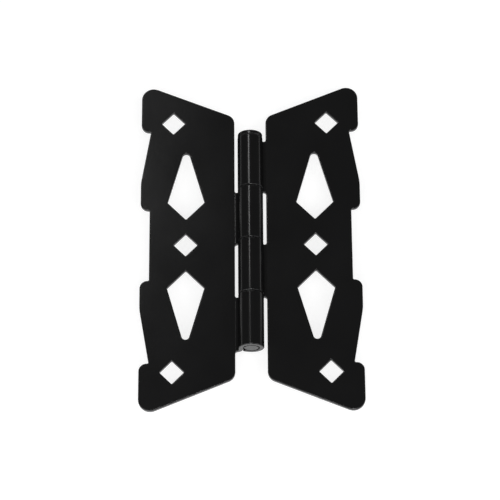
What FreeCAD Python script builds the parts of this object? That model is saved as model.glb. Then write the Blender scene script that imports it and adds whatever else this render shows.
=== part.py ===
"""Butterfly gate hinge: two flat steel leaves with cut-outs, four rolled knuckles and one headed pin.

Row frame, millimetres. The open hinge lies flat: +Z is up, out of the leaves' front faces, and +Y runs
along the pin towards its head. The origin is in the leaves' back plane, under the middle of the pin.
"""
import FreeCAD, Part
import math
import os

# ---- sheet and pin ----
SHEET = 2.65                 # thickness of the steel sheet
PIN_D = 9.525                # 3/8 in round bar
BORE_D = 9.65                # inside of a rolled knuckle
BARREL_R = BORE_D / 2 + SHEET
BACK_GAP = 0.1               # the barrel stands this far clear of the mounting plane
AXIS_Z = BARREL_R + BACK_GAP

# ---- leaf outline: u runs out from the pin axis, v along it; v is mirrored about the middle ----
INNER_U = 9.3                # edge beside the barrel
OUTER_U = 65.0               # edge furthest from the barrel
WAIST_U = 59.6               # straight edge in the middle of the leaf
INNER_TOP_V = 82.5           # where the sloping end meets the inner edge, before rounding
END_SLOPE = math.tan(math.radians(22.15))
UPPER_STEP_V = 73.2          # notch below the corner lobe
LOWER_STEP_V = 22.3          # notch below the middle lobe
LOBE_BEND_V = 40.0           # where the slanting edge turns straight
SLANT = math.tan(math.radians(9.75))
INNER_CORNER_R = 6.0
OUTER_CORNER_R = 7.0
LOBE_R = 4.6
LOBE_BEND_R = 30.0
NOTCH_R = 0.7

# ---- cut-outs ----
KITE_U = 38.1                # the kites' own middle line
KITE_HALF_WIDTH = 10.9
KITE_WIDEST_V = 27.0
KITE_SIDE_ANGLE = 16.15      # degrees between a long side and the kite's own middle line
KITE_TIP_R = 2.25
KITE_CORNER_R = 0.6
BOLT_SQUARE = 10.0           # side of a square hole, for a 3/8 in carriage bolt's neck
BOLT_CORNER_R = 0.5
MIDDLE_BOLT_U = 38.25
END_BOLT_U = 45.85
END_BOLT_V = 78.65

# ---- knuckles ----
KNUCKLE_LENGTH = 32.85
KNUCKLE_GAP = 0.3
KNUCKLES = 4                 # taken in turn by the two leaves, from the head end down
BEND_R = 1.8                 # inside radius where a strip leaves the leaf
ROLL_END_ANGLE = 310.0       # where the rolled strip ends, seen from -Y for a leaf on the +X side
RELIEF_R = 1.4               # rounded corner beside each strip

# ---- edge rounding ----
FRONT_EDGE_R = 0.6
BACK_EDGE_R = 0.4

# ---- pin ----
HEAD_D = 14.6
HEAD_THICKNESS = 2.6
HEAD_EDGE_R = 1.0
HEAD_UNDER_R = 0.4           # the head's lower edge, beside the first knuckle
HEAD_SEAT_GAP = 0.1
PIN_END_RECESS = 0.1         # the pin's plain end sits this far inside the last knuckle
PIN_END_CHAMFER = 0.75
PRESS_BAND_LENGTH = 14.0     # swelled stretch of the pin that the head-end knuckle grips
PRESS_BAND_START = 4.0       # distance of that stretch below the head

PITCH = KNUCKLE_LENGTH + KNUCKLE_GAP
BARREL_TOP = (KNUCKLES * KNUCKLE_LENGTH + (KNUCKLES - 1) * KNUCKLE_GAP) / 2
TOLERANCE = 1e-4


def vec(x, y, z=0.0):
    return FreeCAD.Vector(x, y, z)


def rounded_wire(corners):
    """A closed wire through (u, v, radius) corners, each rounded by a tangent arc."""
    count = len(corners)
    starts, arcs = [], []
    for i, (u, v, radius) in enumerate(corners):
        here = vec(u, v)
        before = (vec(*corners[i - 1][:2]) - here).normalize()
        after = (vec(*corners[(i + 1) % count][:2]) - here).normalize()
        half = before.getAngle(after) / 2
        reach = radius / math.tan(half)
        middle = (before + after).normalize()
        centre = here + middle * (radius / math.sin(half))
        first, last = here + before * reach, here + after * reach
        arcs.append(Part.Arc(first, centre - middle * radius, last).toShape())
        starts.append((first, last))
    edges = []
    for i in range(count):
        edges.append(arcs[i])
        edges.append(Part.LineSegment(starts[i][1], starts[(i + 1) % count][0]).toShape())
    return Part.Wire(edges)


def prism(wire, low, high):
    face = Part.Face(wire)
    face.translate(vec(0, 0, low))
    return face.extrude(vec(0, 0, high - low))


def leaf_outline():
    """The leaf's flat outline without its knuckle strips."""
    outer_top_v = INNER_TOP_V + END_SLOPE * (OUTER_U - INNER_U)
    notch_u = OUTER_U - SLANT * (UPPER_STEP_V - LOBE_BEND_V)
    upper = [
        (INNER_U, INNER_TOP_V, INNER_CORNER_R),
        (OUTER_U, outer_top_v, OUTER_CORNER_R),
        (OUTER_U, UPPER_STEP_V, LOBE_R),
        (notch_u, UPPER_STEP_V, NOTCH_R),
        (OUTER_U, LOBE_BEND_V, LOBE_BEND_R),
        (OUTER_U, LOWER_STEP_V, LOBE_R),
        (WAIST_U, LOWER_STEP_V, NOTCH_R),
    ]
    lower = [(u, -v, radius) for u, v, radius in reversed(upper)]
    return rounded_wire(upper + lower)


def kite(side):
    """One kite cut-out; side is 1 above the middle of the leaf and -1 below it."""
    apex_v = KITE_WIDEST_V + KITE_HALF_WIDTH / math.tan(math.radians(KITE_SIDE_ANGLE))
    corners = [
        (KITE_U, KITE_WIDEST_V - KITE_HALF_WIDTH, KITE_CORNER_R),
        (KITE_U + KITE_HALF_WIDTH, KITE_WIDEST_V, KITE_CORNER_R),
        (KITE_U, apex_v, KITE_TIP_R),
        (KITE_U - KITE_HALF_WIDTH, KITE_WIDEST_V, KITE_CORNER_R),
    ]
    return rounded_wire([(u, side * v, radius) for u, v, radius in corners])


def bolt_hole(u, v):
    """A square hole standing on its corner."""
    reach = BOLT_SQUARE / math.sqrt(2)
    corners = [(u + reach, v), (u, v + reach), (u - reach, v), (u, v - reach)]
    return rounded_wire([(*corner, BOLT_CORNER_R) for corner in corners])


def plate():
    body = prism(leaf_outline(), 0, SHEET)
    holes = [kite(1), kite(-1), bolt_hole(MIDDLE_BOLT_U, 0)]
    holes += [bolt_hole(END_BOLT_U, side * END_BOLT_V) for side in (1, -1)]
    for wire in holes:
        body = body.cut(prism(wire, -1, SHEET + 1))
    return body


def knuckle_profile():
    """Section, in the XZ plane, of a strip that bends up out of the leaf and rolls round the pin."""
    bore_r = BORE_D / 2
    bend_u = BARREL_R + BEND_R
    bend_z = SHEET + BEND_R
    root_u = INNER_U + 2 * RELIEF_R

    def on_roll(radius, angle):
        a = math.radians(angle)
        return vec(radius * math.cos(a), 0, AXIS_Z + radius * math.sin(a))

    def on_bend(radius, angle):
        a = math.radians(angle)
        return vec(bend_u + radius * math.cos(a), 0, bend_z + radius * math.sin(a))

    def side(radius, bend_radius):
        """One side of the strip, from its root in the leaf to its rolled end."""
        root = vec(root_u, 0, bend_z - bend_radius)
        return [
            Part.LineSegment(root, on_bend(bend_radius, 270)).toShape(),
            Part.Arc(on_bend(bend_radius, 270), on_bend(bend_radius, 225),
                     on_bend(bend_radius, 180)).toShape(),
            Part.LineSegment(on_bend(bend_radius, 180), on_roll(radius, 0)).toShape(),
            Part.Arc(on_roll(radius, 0), on_roll(radius, ROLL_END_ANGLE / 2),
                     on_roll(radius, ROLL_END_ANGLE)).toShape(),
        ]

    front = side(BARREL_R, BEND_R)
    back = side(bore_r, BEND_R + SHEET)
    tip_out, tip_in = on_roll(BARREL_R, ROLL_END_ANGLE), on_roll(bore_r, ROLL_END_ANGLE)
    tip = Part.LineSegment(tip_out, tip_in).toShape()
    root = Part.LineSegment(vec(root_u, 0, 0), vec(root_u, 0, SHEET)).toShape()
    return Part.Face(Part.Wire(front + [tip] + back[::-1] + [root]))


def strip_outline(low, high):
    """Seen from above, a knuckle strip and the rounded corners where it joins the leaf."""
    far_u = -BARREL_R - 1
    root_u = INNER_U + 2 * RELIEF_R
    near_u = INNER_U - RELIEF_R
    diagonal = RELIEF_R / math.sqrt(2)
    foot, top = low - RELIEF_R, high + RELIEF_R
    low_corner = Part.Arc(vec(near_u, low), vec(near_u + diagonal, foot + diagonal), vec(INNER_U, foot))
    high_corner = Part.Arc(vec(INNER_U, top), vec(near_u + diagonal, top - diagonal), vec(near_u, high))
    edges = [
        Part.LineSegment(vec(far_u, low), vec(near_u, low)),
        low_corner,
        Part.LineSegment(vec(INNER_U, foot), vec(root_u, foot)),
        Part.LineSegment(vec(root_u, foot), vec(root_u, top)),
        Part.LineSegment(vec(root_u, top), vec(INNER_U, top)),
        high_corner,
        Part.LineSegment(vec(near_u, high), vec(far_u, high)),
        Part.LineSegment(vec(far_u, high), vec(far_u, low)),
    ]
    return Part.Wire([edge.toShape() for edge in edges])


def knuckle(high):
    """A rolled strip whose head-end face is at v = high."""
    low = high - KNUCKLE_LENGTH
    roll = knuckle_profile()
    roll.translate(vec(0, low - RELIEF_R, 0))
    roll = roll.extrude(vec(0, KNUCKLE_LENGTH + 2 * RELIEF_R, 0))
    return roll.common(prism(strip_outline(low, high), -1, 2 * AXIS_Z))


def skin_of(face):
    """'front' for the leaf's front and the barrel's outside, 'back' for the other side, else None."""
    surface = face.Surface
    if isinstance(surface, Part.Cylinder) and abs(surface.Axis.y) > 1 - TOLERANCE:
        outer = any(abs(surface.Radius - radius) < TOLERANCE for radius in (BARREL_R, BEND_R))
        return "front" if outer else "back"
    if not isinstance(surface, Part.Plane):
        return None
    if abs(surface.Axis.z) > 1 - TOLERANCE:
        return "front" if surface.Position.z > SHEET / 2 else "back"
    if abs(surface.Axis.x) > 1 - TOLERANCE and surface.Position.x < INNER_U - 1:
        return "front" if surface.Position.x > BARREL_R - TOLERANCE else "back"
    return None


def rim_edges(body, skin):
    """The edges where that skin meets a cut edge of the sheet, but not the end of a roll."""
    found = []
    for edge in body.Edges:
        faces = body.ancestorsOfType(edge, Part.Face)
        sides = [skin_of(face) for face in faces]
        if sorted(str(side) for side in sides) != sorted([skin, "None"]):
            continue
        cut_face = faces[sides.index(None)]
        normal = cut_face.normalAt(*cut_face.Surface.parameter(edge.CenterOfMass))
        across = isinstance(cut_face.Surface, Part.Plane) and abs(normal.y) < TOLERANCE
        rolled_end = across and edge.BoundBox.ZMax > TOLERANCE and edge.CenterOfMass.x < INNER_U - 1
        if not rolled_end:
            found.append(edge)
    return found


def leaf(first_knuckle):
    """A leaf on the +X side that takes every other knuckle, counted from the head end."""
    body = plate()
    for index in range(first_knuckle, KNUCKLES, 2):
        body = body.fuse(knuckle(BARREL_TOP - index * PITCH))
    body = body.removeSplitter()
    body = body.makeFillet(FRONT_EDGE_R, rim_edges(body, "front"))
    body = body.makeFillet(BACK_EDGE_R, rim_edges(body, "back"))
    return body


def pin():
    """A headed pin with a swelled band that fills the bore of the head-end knuckle."""
    along = vec(0, 1, 0)
    shank_low = -BARREL_TOP + PIN_END_RECESS
    head_low = BARREL_TOP + HEAD_SEAT_GAP
    head_top = head_low + HEAD_THICKNESS
    shank = Part.makeCylinder(PIN_D / 2, head_low - shank_low, vec(0, shank_low, AXIS_Z), along)
    end_edges = [edge for edge in shank.Edges if edge.BoundBox.YMax < shank_low + TOLERANCE]
    shank = shank.makeChamfer(PIN_END_CHAMFER, end_edges)
    head = Part.makeCylinder(HEAD_D / 2, HEAD_THICKNESS, vec(0, head_low, AXIS_Z), along)
    top_edges = [edge for edge in head.Edges if edge.BoundBox.YMin > head_top - TOLERANCE]
    head = head.makeFillet(HEAD_EDGE_R, top_edges)
    under_edges = [edge for edge in head.Edges if edge.BoundBox.YMax < head_low + TOLERANCE]
    head = head.makeFillet(HEAD_UNDER_R, under_edges)
    band_low = head_low - PRESS_BAND_START - PRESS_BAND_LENGTH
    band = Part.makeCylinder(BORE_D / 2, PRESS_BAND_LENGTH, vec(0, band_low, AXIS_Z), along)
    return shank.fuse(head).fuse(band).removeSplitter()


def write(name, shape):
    solid = shape.Solids[0]
    solid.exportStep("parts/" + name + ".step")
    volume = round(solid.Volume, 1)
    print(name, "solids", len(shape.Solids), "valid", solid.isValid(), "volume", volume)


os.makedirs("parts", exist_ok=True)
write("post_leaf", leaf(0))
write("gate_leaf", leaf(1).mirror(vec(0, 0, 0), vec(1, 0, 0)))
write("hinge_pin", pin())
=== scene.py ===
import math

import bpy
from mathutils import Matrix, Vector


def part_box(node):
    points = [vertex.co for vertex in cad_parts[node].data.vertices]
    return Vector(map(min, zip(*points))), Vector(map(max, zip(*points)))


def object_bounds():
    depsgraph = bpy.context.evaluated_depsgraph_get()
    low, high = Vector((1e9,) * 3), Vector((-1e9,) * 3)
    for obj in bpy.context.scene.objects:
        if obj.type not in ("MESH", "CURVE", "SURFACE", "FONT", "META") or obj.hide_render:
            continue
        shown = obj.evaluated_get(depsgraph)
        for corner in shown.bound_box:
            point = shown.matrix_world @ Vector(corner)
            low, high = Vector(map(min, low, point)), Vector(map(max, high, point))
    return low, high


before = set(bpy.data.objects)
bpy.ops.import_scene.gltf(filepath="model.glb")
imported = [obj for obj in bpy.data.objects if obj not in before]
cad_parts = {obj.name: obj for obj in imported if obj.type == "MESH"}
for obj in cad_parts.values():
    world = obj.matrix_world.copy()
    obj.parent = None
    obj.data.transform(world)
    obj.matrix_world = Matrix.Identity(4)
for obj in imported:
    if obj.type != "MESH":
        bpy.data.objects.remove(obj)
cad_low, cad_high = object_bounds()
centre = (cad_low + cad_high) / 2
scene = bpy.context.scene

# ---- powder coat: linear colours, and noise scales per metre ----
COAT_DEEP = (0.0044, 0.0044, 0.0046)
COAT_PALE = (0.0062, 0.0062, 0.0064)
COAT_WORN = (0.040, 0.040, 0.041)
COAT_SPECULAR = 0.36
GLOSS_ROUGHNESS = (0.145, 0.180)     # from the glossiest patches to the dullest
WORN_ROUGHNESS = 0.16                # added where the coat is rubbed thin
PATCH_SCALE = 28.0
SCUFF_SCALE = 260.0
PEEL_SCALE = 900.0
GRIT_SCALE = 3200.0
GRIT_SHARE = 0.35                    # height of the grit against the orange peel
BUMP_STRENGTH = 0.06
BUMP_DISTANCE = 0.0002
BARREL_SIDE_X = (0.0094, 0.0100)     # the barrel ends and the flat leaf begins between these

# ---- floor, world and camera ----
FLOOR_SIZE = 6.0
FLOOR_WHITE = 0.42
FLOOR_GLOW = 0.74
SWING_ROOM = 0.062                   # the gate leaf hangs down 58 mm as it is swung back
WORLD_LIGHT = 0.11
LENS_MM = 152.5
SENSOR_MM = 36.0
CAMERA_PLACE = (0.00308, -0.46530, 1.14780)     # the height is above the pin's axis
CAMERA_RIGHT = (0.99997, -0.00635, -0.00560)
CAMERA_UP = (0.00798, 0.92829, 0.37178)
CAMERA_BACK = (0.00284, -0.37181, 0.92831)

# ---- softboxes: name, heading from the part, distance, width, height, radiance ----
SOFTBOXES = (
    ("overhead", (0.03, -0.40, 0.92), 1.9, 0.55, 0.38, 26),
    ("strip", (-0.22, 0.50, 0.84), 3.0, 0.24, 1.0, 10.5),
    ("front_left", (-0.62, -0.62, 0.42), 1.6, 1.3, 0.8, 1.8),
    ("front_right", (0.62, -0.62, 0.42), 1.6, 1.3, 0.8, 1.8),
    ("back", (0, 0.90, 0.40), 1.6, 1.5, 0.6, 1.0),
)


# ---- materials ----

def node(tree, kind, **inputs):
    made = tree.nodes.new("ShaderNode" + kind)
    for name, value in inputs.items():
        made.inputs[name.replace("_", " ")].default_value = value
    return made


def ramp(tree, source, low, high, at_low, at_high):
    """Map a value from low..high onto at_low..at_high, and hold it outside that range."""
    made = tree.nodes.new("ShaderNodeMapRange")
    made.inputs["From Min"].default_value = low
    made.inputs["From Max"].default_value = high
    made.inputs["To Min"].default_value = at_low
    made.inputs["To Max"].default_value = at_high
    tree.links.new(source, made.inputs["Value"])
    return made.outputs["Result"]


def math_node(tree, operation, first, second=None):
    """A sum, product and so on of two values, each a socket or a number."""
    made = tree.nodes.new("ShaderNodeMath")
    made.operation = operation
    for slot, value in enumerate((first, second)):
        if isinstance(value, (int, float)):
            made.inputs[slot].default_value = value
        elif value is not None:
            tree.links.new(value, made.inputs[slot])
    return made.outputs[0]


def blend_colours(tree, factor, first, second):
    """Each colour is a socket or three numbers."""
    made = tree.nodes.new("ShaderNodeMix")
    made.data_type = "RGBA"
    tree.links.new(factor, made.inputs["Factor"])
    for name, value in (("A", first), ("B", second)):
        if isinstance(value, tuple):
            made.inputs[name].default_value = (*value, 1)
        else:
            tree.links.new(value, made.inputs[name])
    return made.outputs["Result"]


def cut_edges(tree, coordinates):
    """1 on the sheet's cut and rounded edges and the ends of knuckles and pin, 0 elsewhere."""
    facing = tree.nodes.new("ShaderNodeSeparateXYZ")
    tree.links.new(coordinates.outputs["Normal"], facing.inputs["Vector"])
    place = tree.nodes.new("ShaderNodeSeparateXYZ")
    tree.links.new(coordinates.outputs["Object"], place.inputs["Vector"])
    along_pin = ramp(tree, math_node(tree, "ABSOLUTE", facing.outputs["Y"]), 0.10, 0.45, 0, 1)
    off_face = ramp(tree, math_node(tree, "ABSOLUTE", facing.outputs["Z"]), 0.80, 0.98, 1, 0)
    on_leaf = ramp(tree, math_node(tree, "ABSOLUTE", place.outputs["X"]), *BARREL_SIDE_X, 0, 1)
    return math_node(tree, "MAXIMUM", along_pin, math_node(tree, "MULTIPLY", off_face, on_leaf))


def powder_coat():
    """Gloss black powder coat, with orange peel and uneven gloss, rubbed thin along the edges."""
    material = bpy.data.materials.new("powder_coat")
    material.use_nodes = True
    tree = material.node_tree
    shader = tree.nodes["Principled BSDF"]
    shader.inputs["Specular IOR Level"].default_value = COAT_SPECULAR
    coordinates = tree.nodes.new("ShaderNodeTexCoord")

    def noise(scale, detail):
        made = node(tree, "TexNoise", Scale=scale, Detail=detail)
        tree.links.new(coordinates.outputs["Object"], made.inputs["Vector"])
        return made.outputs["Fac"]

    patches = noise(PATCH_SCALE, 3.0)
    scuffs = noise(SCUFF_SCALE, 5.0)
    peel = noise(PEEL_SCALE, 2.0)
    grit = noise(GRIT_SCALE, 1.0)
    edge = cut_edges(tree, coordinates)
    wear = math_node(tree, "MULTIPLY", edge, ramp(tree, scuffs, 0.48, 0.66, 0.05, 0.85))

    unworn = blend_colours(tree, patches, COAT_DEEP, COAT_PALE)
    tree.links.new(blend_colours(tree, wear, unworn, COAT_WORN), shader.inputs["Base Color"])

    gloss = ramp(tree, patches, 0.3, 0.7, *GLOSS_ROUGHNESS)
    rubbed = math_node(tree, "MULTIPLY", wear, WORN_ROUGHNESS)
    tree.links.new(math_node(tree, "ADD", gloss, rubbed), shader.inputs["Roughness"])

    height = math_node(tree, "ADD", peel, math_node(tree, "MULTIPLY", grit, GRIT_SHARE))
    bump = node(tree, "Bump", Strength=BUMP_STRENGTH, Distance=BUMP_DISTANCE)
    tree.links.new(height, bump.inputs["Height"])
    tree.links.new(bump.outputs["Normal"], shader.inputs["Normal"])
    return material


def floor_finish():
    """Matt white that gives off some light of its own, so that the part's shadow is faint."""
    material = bpy.data.materials.new("floor")
    material.use_nodes = True
    shader = material.node_tree.nodes["Principled BSDF"]
    shader.inputs["Base Color"].default_value = (FLOOR_WHITE, FLOOR_WHITE, FLOOR_WHITE, 1)
    shader.inputs["Roughness"].default_value = 0.9
    shader.inputs["Specular IOR Level"].default_value = 0.0
    shader.inputs["Emission Color"].default_value = (1, 1, 1, 1)
    shader.inputs["Emission Strength"].default_value = FLOOR_GLOW
    return material


coat = powder_coat()
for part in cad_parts.values():
    part.data.materials.clear()
    part.data.materials.append(coat)


# ---- floor ----

bpy.ops.mesh.primitive_plane_add(size=FLOOR_SIZE, location=(0, 0, cad_low.z - SWING_ROOM))
floor = bpy.context.object
floor.name = "floor"
floor.data.materials.append(floor_finish())


# ---- light ----

def area_light(name, heading, distance, width, height, radiance):
    """A softbox that faces the part from a heading and can't be seen by the camera."""
    data = bpy.data.lights.new(name, "AREA")
    data.shape = "RECTANGLE"
    data.size = width
    data.size_y = height
    data.energy = radiance * math.pi * width * height
    light = bpy.data.objects.new(name, data)
    heading = Vector(heading).normalized()
    light.location = centre + heading * distance
    light.rotation_euler = (-heading).to_track_quat("-Z", "Y").to_euler()
    light.visible_camera = False
    scene.collection.objects.link(light)


for softbox in SOFTBOXES:
    area_light(*softbox)

world = bpy.data.worlds.new("studio")
world.use_nodes = True
background = world.node_tree.nodes["Background"]
background.inputs["Color"].default_value = (1, 1, 1, 1)
background.inputs["Strength"].default_value = WORLD_LIGHT
scene.world = world
scene.view_settings.view_transform = "Standard"


# ---- camera ----

camera_data = bpy.data.cameras.new("camera")
camera_data.sensor_width = SENSOR_MM
camera_data.lens = LENS_MM
camera = bpy.data.objects.new("camera", camera_data)
pin_low, pin_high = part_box("hinge_pin")
pin_centre_z = (pin_low.z + pin_high.z) / 2
place = Vector(CAMERA_PLACE) + Vector((0, 0, pin_centre_z))
turn = Matrix((CAMERA_RIGHT, CAMERA_UP, CAMERA_BACK)).transposed()
camera.matrix_world = Matrix.Translation(place) @ turn.to_4x4()
camera_data.clip_start = 0.05
camera_data.clip_end = 20.0
scene.collection.objects.link(camera)
scene.camera = camera
